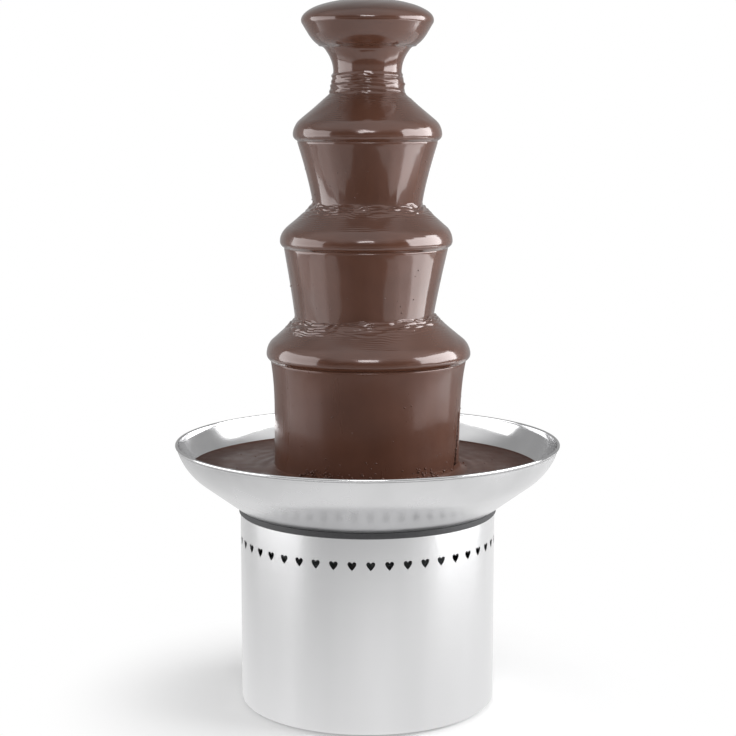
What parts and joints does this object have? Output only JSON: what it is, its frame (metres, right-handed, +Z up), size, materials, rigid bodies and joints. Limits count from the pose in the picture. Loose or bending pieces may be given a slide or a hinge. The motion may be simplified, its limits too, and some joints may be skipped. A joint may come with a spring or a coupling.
{
  "type": "chocolate fountain",
  "caption": "Catering chocolate fountain: round steel base with heart vents, wide heated bowl and a tiered auger tower coated in falling melted chocolate.",
  "frame": {"origin": "on the floor, under the middle of the round base", "axes": "+Z up along the tower, the front seen in the picture faces -Y, the controls are at +Y"},
  "size_m": [0.38, 0.38, 0.6933],
  "materials": {
    "polished_steel": "polished",
    "satin_steel": "satin",
    "zinc_steel": "zinc plated",
    "aluminium": "cast",
    "bronze": "turned",
    "copper_winding": "enamelled wire",
    "brass_contact": "bright",
    "gear_resin": "moulded",
    "black_rubber": "matt",
    "black_plastic": "fine grain",
    "red_rocker": "gloss",
    "lamp_amber": "translucent",
    "insulation": "fibre mat",
    "melted_chocolate": "wet gloss"
  },
  "bodies": {
    "housing": {"base_shell": "satin_steel", "base_plate": "zinc_steel", "plate_screws": "zinc_steel", "rubber_feet": "black_rubber", "foot_screws": "zinc_steel", "seal_ring": "black_rubber", "bowl": "polished_steel", "bowl_studs": "zinc_steel", "stud_nuts": "zinc_steel", "stud_spacers": "zinc_steel", "heater_plate": "aluminium", "heater_element": "satin_steel", "insulation_pad": "insulation", "heater_pan": "satin_steel", "seal_housing": "polished_steel", "seal_nut": "zinc_steel", "lip_seal": "black_rubber", "shaft_bush": "bronze", "gearbox_top_plate": "zinc_steel", "gearbox_bottom_plate": "zinc_steel", "gearbox_bushes": "bronze", "idler_axle": "satin_steel", "motor_can": "satin_steel", "motor_end_cap": "satin_steel", "motor_stator": "copper_winding", "motor_screws": "zinc_steel", "tower_tube": "polished_steel", "tower_pegs": "polished_steel", "tier_stops": "polished_steel", "lower_tier": "polished_steel", "middle_tier": "polished_steel", "upper_tier": "polished_steel", "crown": "polished_steel", "chocolate_pool": "melted_chocolate", "lower_chocolate": "melted_chocolate", "middle_chocolate": "melted_chocolate", "upper_chocolate": "melted_chocolate", "crown_chocolate": "melted_chocolate", "thermostat_body": "black_plastic", "thermostat_nut": "zinc_steel", "dial_plate": "black_plastic", "motor_switch_frame": "black_plastic", "heat_switch_frame": "black_plastic", "lamp_bezel": "black_plastic", "lamp_lens": "lamp_amber", "power_inlet": "black_plastic", "inlet_pins": "brass_contact"},
    "auger_drive": {"output_gear": "gear_resin", "output_shaft": "polished_steel", "drive_pin": "zinc_steel", "auger_core": "polished_steel", "auger_flight": "polished_steel"},
    "idler": {"idler_gear": "gear_resin"},
    "motor_rotor": {"motor_rotor": "satin_steel", "motor_pinion": "gear_resin"},
    "knob": {"thermostat_shaft": "zinc_steel", "control_knob": "black_plastic"},
    "motor_switch": {"motor_switch_rocker": "red_rocker"},
    "heat_switch": {"heat_switch_rocker": "red_rocker"}
  },
  "joints": [
    {"name": "auger_spin", "type": "hinge", "parent": "housing", "child": "auger_drive", "pos_m": [0, 0, 0.1912], "axis": [0, 0, 1], "continuous": true},
    {"name": "idler_spin", "type": "hinge", "parent": "housing", "child": "idler", "pos_m": [-0.045, 0, 0.1257], "axis": [0, 0, 1], "continuous": true},
    {"name": "motor_spin", "type": "hinge", "parent": "housing", "child": "motor_rotor", "pos_m": [-0.045, 0.036, 0.1232], "axis": [0, 0, 1], "continuous": true},
    {"name": "knob_turn", "type": "hinge", "parent": "housing", "child": "knob", "pos_m": [0, 0.1263, 0.107], "axis": [0, -1, 0], "range_deg": [0, 270]},
    {"name": "motor_switch_rock", "type": "hinge", "parent": "housing", "child": "motor_switch", "pos_m": [0.04251, 0.1168, 0.107], "axis": [-0.9397, 0.342, 0], "range_deg": [0, 16]},
    {"name": "heat_switch_rock", "type": "hinge", "parent": "housing", "child": "heat_switch", "pos_m": [-0.04251, 0.1168, 0.107], "axis": [-0.9397, -0.342, 0], "range_deg": [0, 16]}
  ],
  "couplings": [
    {"joint": "idler_spin", "follows": "auger_spin", "ratio": -4},
    {"joint": "motor_spin", "follows": "auger_spin", "ratio": 16}
  ]
}
